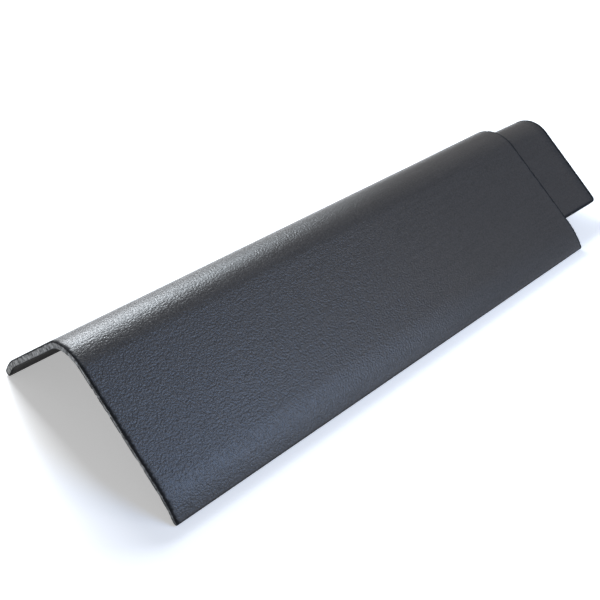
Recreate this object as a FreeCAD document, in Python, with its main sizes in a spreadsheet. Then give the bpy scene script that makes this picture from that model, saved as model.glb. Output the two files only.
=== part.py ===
import FreeCAD, Part
import Sketcher
import math
import os

# A ridge cap for a slate roof: one piece of coated fibre cement, moulded over a former as an angle with a
# rounded crown, two straight wings and a lip that turns down along each lower edge. One end carries a socket
# tongue, a lower and narrower length of the same angle, which slips under the plain end of the next cap.
#
# Frame: X runs across the ridge, Y along it from the plain end to the tongue, and Z up. The origin is on the
# surface that the two lower edges stand on, under the ridge line, halfway along the overall length.

SIZES = {
    # The cap: wing_length runs down the wing from the corner that the wings would make without the crown.
    "cover_length": 900.0,
    "wing_length": 272.0,
    "wing_pitch": 38.0,
    "wall": 11.0,
    "crown_radius": 66.0,
    # The lip: the stretch along each lower edge where the wing curves down.
    "lip_length": 56.0,
    "lip_turn": 23.0,
    "top_edge_round": 2.0,
    "under_edge_round": 5.0,
    # The socket tongue, measured like the cap, and the joggle of the wall that leads down to it.
    "tongue_length": 120.0,
    "tongue_wing_length": 209.0,
    "tongue_fall": 3.0,
    "tongue_corner": 8.0,
    "lap_clearance": 1.5,
    "joggle_length": 45.0,
    # The arrises round the outer face at both ends of the cap.
    "arris_round": 1.5,
}

document = FreeCAD.newDocument("RidgeCap")
sheet = document.addObject("Spreadsheet::Sheet", "Sizes")
for row_number, (alias, value) in enumerate(SIZES.items(), start=1):
    sheet.set(f"A{row_number}", alias)
    sheet.set(f"B{row_number}", str(value))
    sheet.setAlias(f"B{row_number}", alias)
document.recompute()

body = document.addObject("PartDesign::Body", "ridge_cap")
body.Label = "ridge_cap"

# Stations along the ridge, and the depths of the tongue's two faces below the cap's outer face. The tongue's
# outer face clears the inside of the next cap.
PLAIN_END = "-(Sizes.cover_length + Sizes.tongue_length) / 2"
STEP = "(Sizes.cover_length - Sizes.tongue_length) / 2"
TONGUE_END = "(Sizes.cover_length + Sizes.tongue_length) / 2"
TONGUE_TOP = "(Sizes.wall + Sizes.lap_clearance)"
TONGUE_UNDER = "(2 * Sizes.wall + Sizes.lap_clearance)"
MID_WALL = "(Sizes.wall / 2)"

START, END, CENTRE = 1, 2, 3
VERTICAL_AXIS = -2


def in_millimetres(expression):
    """The length that an expression over the sheet comes to."""
    return float(FreeCAD.Units.Quantity(body.evalExpression(expression)).Value)


def origin_plane(role):
    """One of the body's own origin planes."""
    return next(plane for plane in body.Origin.OriginFeatures if plane.Role == role)


def polar(centre, radius, degrees):
    """The point at a radius and an angle from a centre, in the plane of a section."""
    angle = math.radians(degrees)
    return centre + FreeCAD.Vector(math.cos(angle), math.sin(angle), 0) * radius


def arc(centre, radius, low, high):
    """A counter-clockwise arc between two angles in degrees."""
    circle = Part.Circle(centre, FreeCAD.Vector(0, 0, 1), radius)
    return Part.ArcOfCircle(circle, math.radians(low), math.radians(high))


def new_section(name, station):
    """An empty sketch across the ridge, at a station along Y."""
    sketch = body.newObject("Sketcher::SketchObject", name)
    sketch.AttachmentSupport = [(origin_plane("XZ_Plane"), "")]
    sketch.MapMode = "FlatFace"
    sketch.setExpression("AttachmentOffset.Base.z", f"-({station}) * 1mm")
    return sketch


def dimension(sketch, name, expression, *constraint):
    """A named dimension whose value comes from the sheet."""
    index = sketch.addConstraint(Sketcher.Constraint(*constraint))
    sketch.renameConstraint(index, name)
    sketch.setExpression(f"Constraints.{name}", expression)


def join_smoothly(sketch, joints):
    """Joins the ends of neighbouring edges so that each runs on from the last."""
    for joint in joints:
        sketch.addConstraint(Sketcher.Constraint("Tangent", *joint))


def hold_on_ridge_line(sketch, outer_crown, inner_crown, closing):
    """Crown arcs about one centre on the ridge line, with the half section closed along that line."""
    sketch.addConstraint(
        [
            Sketcher.Constraint("Coincident", inner_crown, END, closing, START),
            Sketcher.Constraint("Coincident", closing, END, outer_crown, END),
            Sketcher.Constraint("PointOnObject", closing, START, VERTICAL_AXIS),
            Sketcher.Constraint("PointOnObject", closing, END, VERTICAL_AXIS),
            Sketcher.Constraint("PointOnObject", outer_crown, CENTRE, VERTICAL_AXIS),
            Sketcher.Constraint("Coincident", inner_crown, CENTRE, outer_crown, CENTRE),
        ]
    )


def cap_section():
    """Half of the cap's section: crown, straight wing and turned lip, with the lowest point at Z 0."""
    pitch = SIZES["wing_pitch"]
    lip_pitch = pitch + SIZES["lip_turn"]
    wall = SIZES["wall"]
    crown = SIZES["crown_radius"]
    lip = SIZES["lip_length"] / math.radians(SIZES["lip_turn"])
    straight = SIZES["wing_length"] - SIZES["lip_length"] - crown * math.tan(math.radians(pitch))
    # A first guess at the height, which the constraints then set exactly.
    crown_centre = FreeCAD.Vector(0, straight * math.sin(math.radians(pitch)), 0)
    shoulder = polar(crown_centre, crown, 90 - pitch)
    bend = polar(shoulder, straight, -pitch)
    lip_centre = polar(bend, -lip, 90 - pitch)

    def across(point, depth, angle):
        return polar(point, -depth, 90 - angle)

    top_round = SIZES["top_edge_round"]
    under_round = SIZES["under_edge_round"]
    top_centre = polar(polar(lip_centre, lip - top_round, 90 - lip_pitch), -top_round, -lip_pitch)
    under_centre = polar(
        polar(lip_centre, lip - wall + under_round, 90 - lip_pitch), -under_round, -lip_pitch
    )
    sketch = new_section("CapSection", PLAIN_END)
    sketch.addGeometry(
        [
            arc(crown_centre, crown, 90 - pitch, 90),
            Part.LineSegment(shoulder, bend),
            arc(lip_centre, lip, 90 - lip_pitch, 90 - pitch),
            arc(top_centre, top_round, -lip_pitch, 90 - lip_pitch),
            Part.LineSegment(
                polar(top_centre, top_round, -lip_pitch), polar(under_centre, under_round, -lip_pitch)
            ),
            arc(under_centre, under_round, -90 - lip_pitch, -lip_pitch),
            arc(lip_centre, lip - wall, 90 - lip_pitch, 90 - pitch),
            Part.LineSegment(across(bend, wall, pitch), across(shoulder, wall, pitch)),
            arc(crown_centre, crown - wall, 90 - pitch, 90),
            Part.LineSegment(polar(crown_centre, crown - wall, 90), polar(crown_centre, crown, 90)),
        ]
    )
    outer_crown, outer_wing, outer_lip, top_edge, lower_edge = range(5)
    under_edge, inner_lip, inner_wing, inner_crown, closing = range(5, 10)
    join_smoothly(
        sketch,
        [
            (outer_crown, START, outer_wing, START),
            (outer_wing, END, outer_lip, END),
            (outer_lip, START, top_edge, END),
            (top_edge, START, lower_edge, START),
            (lower_edge, END, under_edge, END),
            (under_edge, START, inner_lip, START),
            (inner_lip, END, inner_wing, START),
            (inner_wing, END, inner_crown, START),
        ],
    )
    hold_on_ridge_line(sketch, outer_crown, inner_crown, closing)
    sketch.addConstraint(Sketcher.Constraint("Coincident", inner_lip, CENTRE, outer_lip, CENTRE))
    sketch.addConstraint(Sketcher.Constraint("PointOnObject", outer_lip, CENTRE, lower_edge))
    dimension(sketch, "outer_crown", "Sizes.crown_radius * 1mm", "Radius", outer_crown, crown)
    inner_radius = "(Sizes.crown_radius - Sizes.wall) * 1mm"
    dimension(sketch, "inner_crown", inner_radius, "Radius", inner_crown, crown - wall)
    lip_radius = "Sizes.lip_length / (Sizes.lip_turn * pi / 180)"
    dimension(sketch, "outer_lip", f"({lip_radius}) * 1mm", "Radius", outer_lip, lip)
    inner_lip_radius = f"({lip_radius} - Sizes.wall) * 1mm"
    dimension(sketch, "inner_lip", inner_lip_radius, "Radius", inner_lip, lip - wall)
    dimension(sketch, "top_edge", "Sizes.top_edge_round * 1mm", "Radius", top_edge, top_round)
    dimension(sketch, "under_edge", "Sizes.under_edge_round * 1mm", "Radius", under_edge, under_round)
    run = "Sizes.wing_length - Sizes.lip_length - Sizes.crown_radius * tan(Sizes.wing_pitch * 1deg)"
    dimension(sketch, "straight_wing", f"({run}) * 1mm", "Distance", outer_wing, straight)
    slope = math.radians(-pitch)
    dimension(sketch, "wing_slope", "-Sizes.wing_pitch * 1deg", "Angle", outer_wing, slope)
    end_slope = math.radians(-90 - lip_pitch)
    end_angle = "-(90 + Sizes.wing_pitch + Sizes.lip_turn) * 1deg"
    dimension(sketch, "lower_edge_slope", end_angle, "Angle", lower_edge, end_slope)
    dimension(
        sketch,
        "stands_on_floor",
        "Sizes.under_edge_round * 1mm",
        *("DistanceY", -1, START, under_edge, CENTRE, under_round),
    )
    # The height of the crown's centre above the floor, which the tongue's sections read.
    height = sketch.addConstraint(
        Sketcher.Constraint("DistanceY", -1, START, outer_crown, CENTRE, crown_centre.y)
    )
    sketch.setDriving(height, False)
    sketch.renameConstraint(height, "crown_height")
    return sketch


def tongue_section(name, station, top_depth, under_depth):
    """Half of a section parallel to the cap's between two depths below its outer face, with no lip."""
    pitch = SIZES["wing_pitch"]
    outer = SIZES["crown_radius"] - in_millimetres(top_depth)
    inner = SIZES["crown_radius"] - in_millimetres(under_depth)
    reach = SIZES["tongue_wing_length"] - SIZES["crown_radius"] * math.tan(math.radians(pitch))
    crown_centre = FreeCAD.Vector(0, cap.getDatum("crown_height").Value, 0)
    shoulder = polar(crown_centre, outer, 90 - pitch)
    under_shoulder = polar(crown_centre, inner, 90 - pitch)
    top_corner = polar(shoulder, reach, -pitch)
    under_corner = polar(under_shoulder, reach, -pitch)
    sketch = new_section(name, station)
    sketch.addGeometry(
        [
            arc(crown_centre, outer, 90 - pitch, 90),
            Part.LineSegment(shoulder, top_corner),
            Part.LineSegment(top_corner, under_corner),
            Part.LineSegment(under_corner, under_shoulder),
            arc(crown_centre, inner, 90 - pitch, 90),
            Part.LineSegment(polar(crown_centre, inner, 90), polar(crown_centre, outer, 90)),
        ]
    )
    outer_crown, outer_wing, lower_edge, inner_wing, inner_crown, closing = range(6)
    join_smoothly(
        sketch,
        [
            (outer_crown, START, outer_wing, START),
            (inner_wing, END, inner_crown, START),
        ],
    )
    hold_on_ridge_line(sketch, outer_crown, inner_crown, closing)
    sketch.addConstraint(
        [
            Sketcher.Constraint("Coincident", outer_wing, END, lower_edge, START),
            Sketcher.Constraint("Coincident", lower_edge, END, inner_wing, START),
            Sketcher.Constraint("Parallel", outer_wing, inner_wing),
            Sketcher.Constraint("Perpendicular", outer_wing, lower_edge),
        ]
    )
    top_radius = f"(Sizes.crown_radius - {top_depth}) * 1mm"
    dimension(sketch, "outer_crown", top_radius, "Radius", outer_crown, outer)
    under_radius = f"(Sizes.crown_radius - {under_depth}) * 1mm"
    dimension(sketch, "inner_crown", under_radius, "Radius", inner_crown, inner)
    slope = math.radians(-pitch)
    dimension(sketch, "wing_slope", "-Sizes.wing_pitch * 1deg", "Angle", outer_wing, slope)
    run = "(Sizes.tongue_wing_length - Sizes.crown_radius * tan(Sizes.wing_pitch * 1deg)) * 1mm"
    dimension(sketch, "wing_reach", run, "Distance", outer_crown, CENTRE, lower_edge, reach)
    dimension(
        sketch,
        "crown_height",
        "CapSection.Constraints.crown_height",
        *("DistanceY", -1, START, outer_crown, CENTRE, crown_centre.y),
    )
    return sketch


def loft(name, first, last):
    """A straight-ruled solid from one section to the next."""
    feature = body.newObject("PartDesign::AdditiveLoft", name)
    feature.Profile = first
    feature.Sections = [last]
    feature.Ruled = True
    feature.Refine = False
    return feature


# The cap: one section carried along the whole cover length.
cap = cap_section()
document.recompute()
cap_pad = body.newObject("PartDesign::Pad", "Cap")
cap_pad.Profile = cap
cap_pad.Reversed = True
cap_pad.setExpression("Length", "Sizes.cover_length * 1mm")
document.recompute()

# The joggle: under the step the wall thickens over a short ramp, so that the tongue grows out of the cap at
# full strength. It starts flush with the cap's underside and ends at the tongue's.
joggle = loft(
    "Joggle",
    tongue_section("JoggleStart", f"{STEP} - Sizes.joggle_length", MID_WALL, "Sizes.wall"),
    tongue_section("JoggleEnd", STEP, MID_WALL, TONGUE_UNDER),
)
document.recompute()

# The tongue: it falls slightly towards its end, so that it enters the next cap easily.
tongue = body.newObject("PartDesign::Pad", "Tongue")
tongue.Profile = tongue_section("TongueSection", STEP, TONGUE_TOP, TONGUE_UNDER)
tongue.UseCustomVector = True
tongue.AlongSketchNormal = True
tongue.Direction = FreeCAD.Vector(0, 1, 0)
tongue.setExpression("Direction.z", "-Sizes.tongue_fall / Sizes.tongue_length")
tongue.setExpression("Length", "Sizes.tongue_length * 1mm")
document.recompute()

# The second wing is the first one's mirror image in the ridge line.
both_wings = body.newObject("PartDesign::Mirrored", "BothWings")
both_wings.Originals = [cap_pad, joggle, tongue]
both_wings.MirrorPlane = (origin_plane("YZ_Plane"), [""])
body.Tip = both_wings
document.recompute()


def edges_at(station, chosen):
    """The names of the edges that lie in the plane across the ridge at a station and pass a test."""
    level = in_millimetres(station)
    names = []
    for number, edge in enumerate(body.Shape.Edges, start=1):
        lies_there = all(abs(vertex.Y - level) < 0.01 for vertex in edge.Vertexes)
        if lies_there and edge.BoundBox.YLength < 0.02 and chosen(edge):
            names.append(f"Edge{number}")
    return names


def crosses_wall(edge):
    """True for the short straight edge across the wall at the foot of a wing."""
    start, end = (vertex.Point for vertex in edge.Vertexes)
    rise = SIZES["wall"] * math.cos(math.radians(SIZES["wing_pitch"]))
    return abs(edge.Length - SIZES["wall"]) < 0.01 and abs(abs(start.z - end.z) - rise) < 0.01


def borders_cap_outer_face(edge):
    """True for an edge of a face of the cap, not of its tongue, that looks upwards."""
    middle = edge.valueAt((edge.FirstParameter + edge.LastParameter) / 2)
    for face in body.Shape.ancestorsOfType(edge, Part.Face):
        looks_up = face.normalAt(*face.Surface.parameter(middle)).z > 0.3
        if looks_up and face.BoundBox.YMin < in_millimetres(STEP) - SIZES["joggle_length"]:
            return True
    return False


def fillet(name, edge_names, radius):
    """Rounds edges of the body as it stands."""
    base = body.Tip
    feature = body.newObject("PartDesign::Fillet", name)
    feature.Base = (base, edge_names)
    feature.setExpression("Radius", f"{radius} * 1mm")
    document.recompute()


# The tongue's lower corners are rounded, and so are the arrises at the two ends of the cap.
fillet("TongueCorners", edges_at(TONGUE_END, crosses_wall), "Sizes.tongue_corner")
fillet("PlainEndArris", edges_at(PLAIN_END, borders_cap_outer_face), "Sizes.arris_round")
fillet("StepArris", edges_at(STEP, borders_cap_outer_face), "Sizes.arris_round")

# Nothing is written unless every feature worked and the cap is one sound solid.
failed = [item.Name for item in document.Objects if {"Invalid", "Error"} & set(item.State)]
if failed:
    raise RuntimeError(f"these features failed: {failed}")
shape = body.Shape
if shape.isNull() or not shape.isValid() or len(shape.Solids) != 1:
    raise RuntimeError("the ridge cap is not one valid solid")

os.makedirs("parts", exist_ok=True)
shape.exportStep(f"parts/{body.Label}.step")
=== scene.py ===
import math

import bpy
import numpy as np
from mathutils import Matrix, Vector


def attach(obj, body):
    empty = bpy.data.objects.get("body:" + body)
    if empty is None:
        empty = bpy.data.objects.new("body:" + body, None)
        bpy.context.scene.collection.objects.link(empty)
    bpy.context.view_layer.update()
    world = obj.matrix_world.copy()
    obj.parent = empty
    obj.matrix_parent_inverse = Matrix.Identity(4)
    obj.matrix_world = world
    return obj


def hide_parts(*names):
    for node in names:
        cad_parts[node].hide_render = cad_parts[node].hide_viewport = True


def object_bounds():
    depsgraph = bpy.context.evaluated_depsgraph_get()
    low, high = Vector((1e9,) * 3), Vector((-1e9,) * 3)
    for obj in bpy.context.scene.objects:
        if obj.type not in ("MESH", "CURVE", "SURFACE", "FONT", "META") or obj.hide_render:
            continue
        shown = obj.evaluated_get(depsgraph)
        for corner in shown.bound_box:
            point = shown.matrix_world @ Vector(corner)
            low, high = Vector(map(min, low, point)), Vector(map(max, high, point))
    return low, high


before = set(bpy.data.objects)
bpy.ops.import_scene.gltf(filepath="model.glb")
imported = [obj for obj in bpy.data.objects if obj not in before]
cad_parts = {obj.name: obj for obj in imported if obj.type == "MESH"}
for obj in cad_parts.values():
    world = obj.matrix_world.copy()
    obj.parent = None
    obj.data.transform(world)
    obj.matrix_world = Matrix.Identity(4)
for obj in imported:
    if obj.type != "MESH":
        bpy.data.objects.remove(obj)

cad_low, cad_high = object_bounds()

# ---------------------------------------------------------------------------------------------------------
# The cap: an angle of fibre cement about 11 mm thick, pressed wet over a former and left to set, so that
# its crown is round and its lower edges turn down in a lip. Its ends are trimmed by hand and stay rough.
# ---------------------------------------------------------------------------------------------------------

plain_end = cad_low.y
overall_length = cad_high.y - cad_low.y
crown_top = cad_high.z
cover_length = 0.900
wing_length = 0.272
pitch = math.radians(38)
wall = 0.011
crown_radius = 0.066
lip_length = 0.056
lip_turn = math.radians(23)
step = plain_end + cover_length

crown_run = crown_radius * pitch
wing_run = wing_length - lip_length - crown_radius * math.tan(pitch)
lip_radius = lip_length / lip_turn
half_girth = crown_run + wing_run + lip_length


def section_point(down, depth):
    """
    The place in the section of a point so far down the outer face from the ridge line and so deep under it.
    The crown is a circle about a point under the ridge, the wing its tangent, and the lip a second circle
    that goes on from the wing; a depth is taken off each radius, or off the wing along its normal.
    """
    run = np.abs(down)
    centre = crown_top - crown_radius
    turn = pitch + (run - crown_run - wing_run) / lip_radius
    angle = np.where(run < crown_run + wing_run, pitch, turn)
    angle = np.where(run < crown_run, run / crown_radius, angle)
    along = np.clip(run - crown_run, 0, wing_run)
    in_lip = run > crown_run + wing_run
    radius = np.where(in_lip, lip_radius, crown_radius)
    start_x = np.where(in_lip, (crown_radius - lip_radius) * np.sin(pitch), 0) + along * np.cos(pitch)
    start_z = np.where(in_lip, (crown_radius - lip_radius) * np.cos(pitch), 0) - along * np.sin(pitch)
    x = start_x + (radius - depth) * np.sin(angle)
    z = centre + start_z + (radius - depth) * np.cos(angle)
    return np.where(down < 0, -x, x), z


def soft_random(points, cell, seed):
    """
    A smooth random field between 0 and 1: each corner of a cubic lattice of the given cell gets a hashed
    value, and a point takes the values of its eight corners, eased by 3t^2 - 2t^3 along each side.
    """
    scatter = np.array([374761393, 668265263, 1440662683])
    scaled = points / cell
    corner = np.floor(scaled).astype(np.int64)
    ease = scaled - corner
    ease = ease * ease * (3 - 2 * ease)
    field = np.zeros(points.shape[:-1])
    for offset in np.ndindex(2, 2, 2):
        mixed = ((corner + np.array(offset)) * scatter).sum(axis=-1) + seed * 974711
        mixed = (mixed ^ (mixed >> 13)) * 1274126177
        value = ((mixed ^ (mixed >> 16)) & 0xFFFF) / 0xFFFF
        weight = np.where(offset, ease, 1 - ease).prod(axis=-1)
        field += weight * value
    return field


def half_outline(reach, skin_depth, under_depth, top_round, under_round, columns):
    """
    Half a wall's outline from the ridge line to the middle of its lower edge, as distances down and depths:
    a run along each face, a quarter circle round each arris, and half of the flat between them.
    """
    quarter = np.linspace(0, math.pi / 2, 7)[1:]
    short_of_reach, off_the_face = 1 - np.sin(quarter), 1 - np.cos(quarter)
    middle = (skin_depth + top_round + under_depth - under_round) / 2
    top_run = np.linspace(0, reach - top_round, columns)
    top_down = [top_run, reach - top_round * short_of_reach, [reach]]
    top_depth = [np.full(columns, skin_depth), skin_depth + top_round * off_the_face, [middle]]
    under_run = np.linspace(0, reach - under_round, columns)
    under_down = [under_run, reach - under_round * short_of_reach, [reach]]
    under_depths = [np.full(columns, under_depth), under_depth - under_round * off_the_face, [middle]]
    top = np.stack([np.concatenate(top_down), np.concatenate(top_depth)], axis=1)
    under = np.stack([np.concatenate(under_down), np.concatenate(under_depths)], axis=1)
    return top, under


def closed_outline(top, under):
    """The whole outline as one loop: the outer face from left foot to right foot, and back underneath."""
    flip = np.array([-1, 1])
    outer = np.concatenate([top[:0:-1] * flip, top])
    inner = np.concatenate([under[-2::-1], under[1:-1] * flip])
    return np.concatenate([outer, inner])


def wall_mesh(name, loops):
    """
    A closed skin through a row of loops, each an array of points. The first and last loops are folded flat,
    so that each point shares its vertex with the one across the wall, which closes the ends. The corners of
    each face run clockwise as seen from outside, so the faces point inwards.
    """
    rows, columns = loops.shape[:2]
    own = np.arange(columns)
    folded = np.minimum(own, (columns - own) % columns)
    index = np.zeros((rows, columns), dtype=np.int64)
    kept = []
    total = 0
    for row in range(rows):
        is_end = row in (0, rows - 1)
        used = columns // 2 + 1 if is_end else columns
        index[row] = total + (folded if is_end else own)
        kept.append(loops[row, :used])
        total += used
    here, along = index[:-1], index[1:]
    faces = np.stack([here, along, np.roll(along, -1, axis=1), np.roll(here, -1, axis=1)], axis=2)
    mesh = bpy.data.meshes.new(name)
    mesh.from_pydata(np.concatenate(kept), [], faces.reshape(-1, 4))
    mesh.validate()
    mesh.shade_smooth()
    return mesh, index


inside_box = 0.00005
foot_top_round = 0.0044
foot_under_round = 0.0056
cap_loop = closed_outline(
    *half_outline(half_girth - inside_box, 0.0, wall, foot_top_round, foot_under_round, 200)
)
cap_partner = np.roll(cap_loop[::-1], 1, axis=0)
mid_wall = (cap_loop + cap_partner) / 2

# Rows along the cap: each end is a folded row, rows across the cut face, a quarter circle round the arris
# and rows that open out along the cap. Each has its set-back from the end and its share of the way to
# mid-wall.
end_round = 0.0012
round_steps = np.radians([0, 30, 60, 90])
face_share = np.array([1.0, 0.86, 0.72, 0.58, 0.45, 0.33])
round_share = (1 - np.sin(round_steps)) * end_round / (wall / 2)
opening_out = np.array([0.0022, 0.0034, 0.005, 0.007, 0.010, 0.015, 0.024])
round_setback = (1 - np.cos(round_steps)) * end_round
end_setback = np.concatenate([np.zeros(len(face_share)), round_setback, opening_out])
end_share = np.concatenate([face_share, round_share, np.zeros(len(opening_out))])
middle_rows = np.linspace(plain_end + 0.04, step - 0.04, 30)
row_share = np.concatenate([end_share, np.zeros(len(middle_rows)), end_share[::-1]])
row_y = np.concatenate([plain_end + end_setback, middle_rows, (step - end_setback)[::-1]])

share = row_share[:, None, None]
down_depth = cap_loop * (1 - share) + mid_wall * share
down, depth = down_depth[..., 0], down_depth[..., 1]
along = np.broadcast_to(row_y[:, None], down.shape)
from_plain = along - plain_end
from_step = step - along

x, z = section_point(down, depth)
rest = np.stack([x, along, z], axis=2)
to_arris = row_share[:, None] * wall / 2
cut_reach = 0.0022
near_end = np.exp(-np.minimum(from_plain, from_step) / cut_reach)

# The cut ends: fine roughness over the face, and chips that break the arris here and there. A chip is
# longer along the cap than across it.
fine_grit, coarse_grit, chip_size = 0.0016, 0.0042, 0.0036
chip_reach = 0.0016
rough = soft_random(rest, fine_grit, 3) + 0.6 * soft_random(rest, coarse_grit, 4)
chips = soft_random(rest * [1, 0.3, 1], chip_size, 5)
chips = np.clip((chips - 0.56) / 0.3, 0, 1) * np.exp(-to_arris / chip_reach)
cut_back = near_end * (0.00030 * rough + 0.0013 * chips)
chip_in = near_end * 0.0007 * chips * np.exp(-to_arris / 0.001)

# The skin itself isn't quite true: it lies up to half a millimetre low where the wet sheet was pressed.
wave_length, wave_depth = 0.11, 0.0005
waves = soft_random(rest, wave_length, 6)
low = wave_depth * waves * (1 - np.clip(np.abs(down) / half_girth, 0, 1) ** 3) * (1 - near_end)

towards_middle = np.sign(mid_wall[None, :, 1] - depth)
depth_now = depth + towards_middle * chip_in + low
y_now = np.where(from_plain < from_step, along + cut_back, along - cut_back)
x, z = section_point(down, depth_now)
cap_mesh, cap_index = wall_mesh("cap_wall", np.stack([x, y_now, z], axis=2))
cap = bpy.data.objects.new("cap_wall", cap_mesh)
bpy.context.scene.collection.objects.link(cap)

# What the material needs to know of each point: how far into the bare cut face it lies, whether it is on the
# underside, and how much painted shade it gets in a dark band along the cut ends and the lower edges, where
# these edges turn away from the light. The coating wraps over the cut face by a ragged width, which is less
# on the left wing and over the crown.
bare_reach = 0.0009
bare_fade = 0.0008
on_end = np.clip(1 - np.minimum(from_plain, from_step) / bare_reach, 0, 1)
ragged = soft_random(rest, 0.0024, 7) * 0.0048 + soft_random(rest, 0.009, 8) * 0.0025
crown_half = 0.03
left_wing = (down < 0) | (np.abs(down) < crown_half)
top_wrap = np.where(left_wing, 0.0008, 0.0016) + ragged * np.where(left_wing, 0.35, 0.45)
under_wrap = np.where(left_wing, 0.0004, 0.0014) + ragged * np.where(left_wing, 0.12, 0.3)
past_top = np.clip((depth - top_wrap) / bare_fade, 0, 1)
short_of_under = np.clip((wall - under_wrap - depth) / bare_fade, 0, 1)
bare = past_top * short_of_under * on_end
is_under = np.arange(len(cap_loop)) > len(cap_loop) // 2
under = is_under[None, :] * (1 - on_end)
from_foot = half_girth - np.abs(down)
# Painted shade: a band that darkens the colour towards the cut ends and the lower edges, where they turn
# away from the light.
to_edge = np.minimum(from_plain / (0.0010 + ragged * 0.6), from_step / (0.0018 + ragged * 0.5))
to_edge = np.minimum(to_edge, from_foot / 0.0026)
edge_shade_strength = 1.7
painted_edge_shade = np.clip(np.exp(-(to_edge**2)) * edge_shade_strength, 0, 1) * (1 - bare)


def store(mesh, index, name, values):
    """Puts one number on each vertex, from an array laid out as the rows of loops."""
    flat = np.zeros(len(mesh.vertices))
    flat[index.ravel()] = values.ravel()
    mesh.attributes.new(name, "FLOAT", "POINT").data.foreach_set("value", flat.astype(np.float32))


store(cap_mesh, cap_index, "bare", bare)
store(cap_mesh, cap_index, "under", under)
store(cap_mesh, cap_index, "painted_edge_shade", painted_edge_shade)


def linear(hexadecimal):
    """An sRGB hex colour as linear red, green, blue and an alpha of 1."""
    srgb = [int(hexadecimal[place : place + 2], 16) / 255 for place in (1, 3, 5)]
    return [c / 12.92 if c <= 0.04045 else ((c + 0.055) / 1.055) ** 2.4 for c in srgb] + [1.0]


def add_node(tree, kind, inputs, **settings):
    """A node of a kind, with its settings, and each input set to a value or linked to a node's output."""
    node = tree.nodes.new(kind)
    for name, value in settings.items():
        setattr(node, name, value)
    for name, value in inputs.items():
        if isinstance(value, bpy.types.NodeSocket):
            tree.links.new(value, node.inputs[name])
        else:
            node.inputs[name].default_value = value
    return node


# Fibre cement with an acrylic coating, sprayed on in the works and stoved: anthracite with a satin sheen.
# The felt it was pressed on leaves a pebbled grain of 2 mm or so; that is too fine to show, so the grain is
# drawn at 2.5 mm and the pebbles at 3 mm, and their relief fades towards the tongue. The cut ends show bare
# cement, a dry mottled grey. The underside is coated and dull, and it is painted darker than its coating as
# painted shade. The cut ends and the lower edges get a band of painted shade.
coated = bpy.data.materials.new("acrylic_coated_fibre_cement")
coated.use_nodes = True
tree = coated.node_tree
tree.nodes.clear()
place = add_node(tree, "ShaderNodeTexCoord", {}).outputs["Object"]
bare_cement = add_node(tree, "ShaderNodeAttribute", {}, attribute_name="bare").outputs["Fac"]
underside = add_node(tree, "ShaderNodeAttribute", {}, attribute_name="under").outputs["Fac"]
painted_edge_shade_fac = add_node(tree, "ShaderNodeAttribute", {}, attribute_name="painted_edge_shade").outputs["Fac"]

grain_size, streak_width, mottle_size, pebble_size = 0.0025, 0.0045, 0.007, 0.0030
grain_place = add_node(
    tree, "ShaderNodeMapping", {"Vector": place, "Scale": (1.0, 0.9, 1.0)}
).outputs["Vector"]
grain = add_node(
    tree,
    "ShaderNodeTexNoise",
    {"Vector": grain_place, "Scale": 1 / grain_size, "Detail": 2.0, "Roughness": 0.5},
).outputs["Fac"]
streak_place = add_node(
    tree, "ShaderNodeMapping", {"Vector": place, "Scale": (1.0, 0.05, 1.0)}
).outputs["Vector"]
streaks = add_node(
    tree,
    "ShaderNodeTexNoise",
    {"Vector": streak_place, "Scale": 1 / streak_width, "Detail": 2.0, "Roughness": 0.6},
).outputs["Fac"]
grain_and_streaks = add_node(
    tree, "ShaderNodeMath", {0: streaks, 1: 0.28, 2: grain}, operation="MULTIPLY_ADD"
).outputs["Value"]
coat_tone = add_node(
    tree, "ShaderNodeMapRange", {"Value": grain_and_streaks, "From Min": 0.40, "From Max": 0.88}
).outputs["Result"]
coat_colour = add_node(
    tree, "ShaderNodeMix", {0: coat_tone, 6: linear("#3c3937"), 7: linear("#4f4b48")}, data_type="RGBA"
).outputs[2]

mottle = add_node(
    tree,
    "ShaderNodeTexNoise",
    {"Vector": place, "Scale": 1 / mottle_size, "Detail": 4.0, "Roughness": 0.62},
).outputs["Fac"]
cement_tone = add_node(
    tree, "ShaderNodeMapRange", {"Value": mottle, "From Min": 0.36, "From Max": 0.64}
).outputs["Result"]
cement_colour = add_node(
    tree, "ShaderNodeMix", {0: cement_tone, 6: linear("#4c4c4c"), 7: linear("#d2d0cc")}, data_type="RGBA"
).outputs[2]
# The underside's near black is partly its thin coating and partly painted shade.
skin_or_shaded_under = add_node(
    tree, "ShaderNodeMix", {0: underside, 6: coat_colour, 7: linear("#2b2b2b")}, data_type="RGBA"
).outputs[2]
# Painted shade: the near-black band along the cut ends and the lower edges.
skin_or_edge_shade = add_node(
    tree, "ShaderNodeMix", {0: painted_edge_shade_fac, 6: skin_or_shaded_under, 7: linear("#0e0e0f")}, data_type="RGBA"
).outputs[2]
surface_colour = add_node(
    tree, "ShaderNodeMix", {0: bare_cement, 6: skin_or_edge_shade, 7: cement_colour}, data_type="RGBA"
).outputs[2]
satin = add_node(
    tree,
    "ShaderNodeMapRange",
    {"Value": grain, "From Min": 0.3, "From Max": 0.7, "To Min": 0.33, "To Max": 0.40},
).outputs["Result"]
dull_under = add_node(
    tree, "ShaderNodeMix", {0: underside, 2: satin, 3: 0.75}, data_type="FLOAT"
).outputs[0]
dry_or_edge = add_node(
    tree, "ShaderNodeMath", {0: bare_cement, 1: painted_edge_shade_fac}, operation="MAXIMUM"
).outputs["Value"]
surface_roughness = add_node(
    tree, "ShaderNodeMix", {0: dry_or_edge, 2: dull_under, 3: 0.92}, data_type="FLOAT"
).outputs[0]
along_ridge = add_node(tree, "ShaderNodeSeparateXYZ", {"Vector": place}).outputs["Y"]
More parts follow.
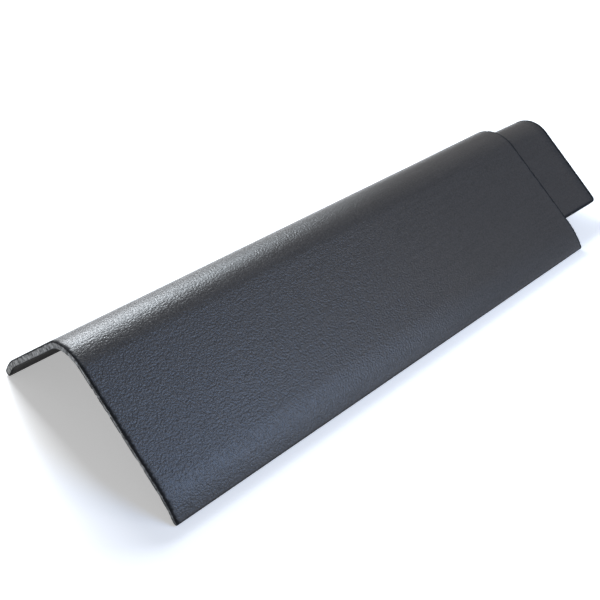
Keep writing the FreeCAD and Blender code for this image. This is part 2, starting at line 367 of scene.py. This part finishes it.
relief_height = add_node(
    tree,
    "ShaderNodeMapRange",
    {"Value": along_ridge, "From Min": -0.10, "From Max": 0.20, "To Min": 0.00075, "To Max": 0.00025},
    interpolation_type="SMOOTHSTEP",
).outputs["Result"]
pebbles = add_node(
    tree, "ShaderNodeTexVoronoi", {"Vector": grain_place, "Scale": 1 / pebble_size}
).outputs["Distance"]
pebbled = add_node(
    tree, "ShaderNodeMath", {0: pebbles, 1: -0.25, 2: grain_and_streaks}, operation="MULTIPLY_ADD"
).outputs["Value"]
relief = add_node(
    tree, "ShaderNodeBump", {"Height": pebbled, "Strength": 1.0, "Distance": relief_height}
).outputs["Normal"]
satin_coat = add_node(
    tree,
    "ShaderNodeBsdfPrincipled",
    {
        "Base Color": surface_colour,
        "Roughness": surface_roughness,
        "IOR": 1.5,
        "Normal": relief,
    },
).outputs["BSDF"]
add_node(tree, "ShaderNodeOutputMaterial", {"Surface": satin_coat})

cap_mesh.materials.append(coated)
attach(cap, "root")
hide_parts("ridge_cap")

# ---------------------------------------------------------------------------------------------------------
# The socket tongue: the same moulding goes on beyond the step, one wall and a little clearance lower and
# without the lip, so that the next cap's plain end lies over it. Its lower corners are rounded off.
# ---------------------------------------------------------------------------------------------------------

tongue_length = overall_length - cover_length
tongue_wing_length = 0.209
tongue_girth = crown_run + tongue_wing_length - crown_radius * math.tan(pitch)
lap_clearance = 0.0015
tongue_top = wall + lap_clearance
tongue_under = tongue_top + wall
tongue_fall = 0.003
tongue_corner = 0.008
joggle_length = 0.045
root_round = 0.0025
buried_top = wall * 0.6
cap_inset = 0.0004
tip = step + tongue_length

# Rows: a folded start buried in the cap's wall, the ramp of the joggle underneath, the hollow at the root of
# the tongue, the tongue, its rounded corners and its cut end, which is made as the cap's ends are.
root_steps = np.radians([0, 18, 36, 54, 72, 90])
buried = step - joggle_length * np.array([1.0, 1.0, 0.9, 0.75, 0.6, 0.45, 0.3, 0.15, 0.02])
root_y = step + root_round * (1 - np.cos(root_steps)) - 0.0003
free_y = step + np.array([0.004, 0.008, 0.02, 0.035, 0.05, 0.065, 0.08, 0.095])
corner_steps = np.radians([0, 12, 24, 36, 48, 60, 72])
corner_y = tip - tongue_corner * (1 - np.sin(corner_steps))
tip_y = tip - np.concatenate([round_setback[::-1], np.zeros(len(face_share))])
row_y = np.concatenate([buried, root_y, free_y, corner_y, tip_y])
row_share = np.zeros(len(row_y))
row_share[0] = 1.0
row_share[1] = 0.5
row_share[-len(tip_y) :] = np.concatenate([round_share[::-1], face_share[::-1]])

blend = np.clip((row_y - (step - joggle_length)) / joggle_length, 0, 1)
ramp = blend * blend * (3 - 2 * blend)
hollow = np.clip(1 - (row_y - step) / root_round, 0, 1)
root_depth = tongue_top - root_round * (1 - np.sqrt(1 - hollow**2))
top_depth = np.where(row_y < step - 0.001, buried_top, root_depth)
under_depth = wall - cap_inset + (tongue_under - wall + cap_inset) * ramp
into_corner = np.clip(row_y - (tip - tongue_corner), 0, tongue_corner)
girth = tongue_girth - tongue_corner + np.sqrt(np.maximum(tongue_corner**2 - into_corner**2, 1e-12))

tongue_top_round, tongue_under_round = 0.002, 0.0015
unit_loop = closed_outline(
    *half_outline(tongue_girth, 0.0, wall, tongue_top_round, tongue_under_round, 130)
)
unit_partner = np.roll(unit_loop[::-1], 1, axis=0)
unit_middle = (unit_loop + unit_partner) / 2
share = row_share[:, None, None]
down_depth = unit_loop * (1 - share) + unit_middle * share
down = down_depth[..., 0] * (girth / tongue_girth)[:, None]
thickness = (under_depth - top_depth)[:, None]
depth = top_depth[:, None] + down_depth[..., 1] / wall * thickness
# The end is cut slightly back towards the lower corners.
corner_cut_back = 0.003
to_tip = np.clip((row_y - step) / tongue_length, 0, 1)[:, None]
along = row_y[:, None] - corner_cut_back * (np.abs(down) / tongue_girth) ** 2 * to_tip**2
fall = tongue_fall * to_tip

x, z = section_point(down, depth)
rest = np.stack([x, along, z - fall], axis=2)
from_tip = (tip - row_y)[:, None] * np.ones(down.shape)
to_arris = row_share[:, None] * wall / 2
near_end = np.exp(-from_tip / cut_reach)
rough = soft_random(rest, fine_grit, 13) + 0.6 * soft_random(rest, coarse_grit, 14)
chips = soft_random(rest * [1, 0.3, 1], chip_size, 15)
chips = np.clip((chips - 0.6) / 0.3, 0, 1) * np.exp(-to_arris / chip_reach)
cut_back = near_end * (0.00025 * rough + 0.0009 * chips)
tongue_mesh, tongue_index = wall_mesh("socket_tongue", np.stack([x, along - cut_back, z - fall], axis=2))
tongue = bpy.data.objects.new("socket_tongue", tongue_mesh)
bpy.context.scene.collection.objects.link(tongue)

tongue_wrap = 0.001
on_end = np.clip(1 - from_tip / bare_reach, 0, 1)
wall_depth = down_depth[..., 1]
ragged = soft_random(rest, 0.0024, 17) * 0.003
past_top = np.clip((wall_depth - tongue_wrap - ragged) / bare_fade, 0, 1)
short_of_under = np.clip((wall - tongue_wrap - ragged - wall_depth) / bare_fade, 0, 1)
bare = past_top * short_of_under * on_end
is_under = np.arange(len(unit_loop)) > len(unit_loop) // 2
store(tongue_mesh, tongue_index, "bare", bare)
store(tongue_mesh, tongue_index, "under", is_under[None, :] * (1 - on_end))
# Painted shade: a dark band along the tongue's cut end and its lower edges, where they turn away from the
# light.
to_edge = np.minimum(from_tip / (0.0060 + ragged * 0.8), (girth[:, None] - np.abs(down)) / 0.0042)
painted_edge_shade = np.clip(np.exp(-(to_edge**2)) * edge_shade_strength, 0, 1) * (1 - bare)
store(tongue_mesh, tongue_index, "painted_edge_shade", painted_edge_shade)
tongue_mesh.materials.append(coated)
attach(tongue, "root")
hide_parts("ridge_cap")

# ---------------------------------------------------------------------------------------------------------
# The studio: a pale floor, two large soft lamps on the left and behind that glance along the crown, three
# weaker ones on the right, of which two are bluish, and an even pale surround. The camera looks down along
# the ridge from the plain end.
# ---------------------------------------------------------------------------------------------------------

floor_mesh = bpy.data.meshes.new("studio_floor")
reach = 15.0
floor_mesh.from_pydata(
    [(-reach, -reach, 0), (reach, -reach, 0), (reach, reach, 0), (-reach, reach, 0)], [], [(0, 1, 2, 3)]
)
floor = bpy.data.objects.new("studio_floor", floor_mesh)
bpy.context.scene.collection.objects.link(floor)
paper = bpy.data.materials.new("pale_paper")
paper.use_nodes = True
paper.node_tree.nodes.clear()
light_path = add_node(paper.node_tree, "ShaderNodeLightPath", {}).outputs
seen_or_mirrored = add_node(
    paper.node_tree,
    "ShaderNodeMath",
    {0: light_path["Is Camera Ray"], 1: light_path["Is Glossy Ray"]},
    operation="MAXIMUM",
).outputs["Value"]
seen_at_all = add_node(
    paper.node_tree,
    "ShaderNodeMath",
    {0: seen_or_mirrored, 1: light_path["Is Transmission Ray"]},
    operation="MAXIMUM",
).outputs["Value"]
paper_glow = 0.42
glow_where_seen = add_node(
    paper.node_tree, "ShaderNodeMath", {0: seen_at_all, 1: paper_glow}, operation="MULTIPLY"
).outputs["Value"]
floor_paper = add_node(
    paper.node_tree,
    "ShaderNodeBsdfPrincipled",
    {
        "Base Color": linear("#f6f6f6"),
        "Roughness": 0.9,
        "Specular IOR Level": 0.0,
        "Emission Color": (1.0, 1.0, 1.0, 1.0),
        "Emission Strength": glow_where_seen,
    },
).outputs["BSDF"]
add_node(paper.node_tree, "ShaderNodeOutputMaterial", {"Surface": floor_paper})
floor_mesh.materials.append(paper)

world = bpy.data.worlds.new("studio_surround")
world.use_nodes = True
world.node_tree.nodes["Background"].inputs["Color"].default_value = (1.0, 1.0, 1.0, 1.0)
world.node_tree.nodes["Background"].inputs["Strength"].default_value = 0.16
bpy.context.scene.world = world


def soft_lamp(name, target, azimuth, elevation, distance, size, radiance, colour):
    """
    A square lamp aimed at a point, from a direction given in degrees from +X and above the floor. Its power
    is its radiance times four and its area, so that a lamp of another size looks as bright.
    """
    light = bpy.data.lights.new(name, "AREA")
    light.shape = "RECTANGLE"
    light.size, light.size_y = size
    light.energy = radiance * 4 * size[0] * size[1]
    light.color = linear(colour)[:3]
    lamp = bpy.data.objects.new(name, light)
    a, e = math.radians(azimuth), math.radians(elevation)
    direction = Vector((math.cos(a) * math.cos(e), math.sin(a) * math.cos(e), math.sin(e)))
    lamp.location = Vector(target) + direction * distance
    lamp.rotation_euler = direction.to_track_quat("Z", "Y").to_euler()
    bpy.context.scene.collection.objects.link(lamp)


middle = (0.03, -0.25, 0.12)
lamp_distance = 2.6
softbox = (0.85, 0.85)
strip = (0.60, 0.50)
soft_lamp("left_softbox", middle, 168, 35, lamp_distance, softbox, 21.0, "#f6faff")
soft_lamp("left_back_softbox", middle, 151, 38, lamp_distance, softbox, 11.0, "#eaf6ff")
soft_lamp("right_cool_softbox", middle, 20, 38, lamp_distance, softbox, 9.0, "#aaccff")
soft_lamp("right_low_strip", middle, 31, 21, lamp_distance, strip, 8.0, "#d4e4ff")
soft_lamp("right_back_softbox", middle, 45, 38, lamp_distance, softbox, 1.6, "#fff6ea")

camera_data = bpy.data.cameras.new("camera")
camera_data.sensor_width = 36.0
camera_data.lens = 53.18
camera = bpy.data.objects.new("camera", camera_data)
heading, looking_down, roll = math.radians(46.256), math.radians(34.448), math.radians(-0.817)
camera.matrix_world = (
    Matrix.Translation((0.82890, -0.89965, 0.82176))
    @ Matrix.Rotation(heading, 4, "Z")
    @ Matrix.Rotation(math.radians(90) - looking_down, 4, "X")
    @ Matrix.Rotation(roll, 4, "Z")
)
bpy.context.scene.collection.objects.link(camera)
bpy.context.scene.camera = camera

bpy.context.scene.view_settings.view_transform = "Standard"
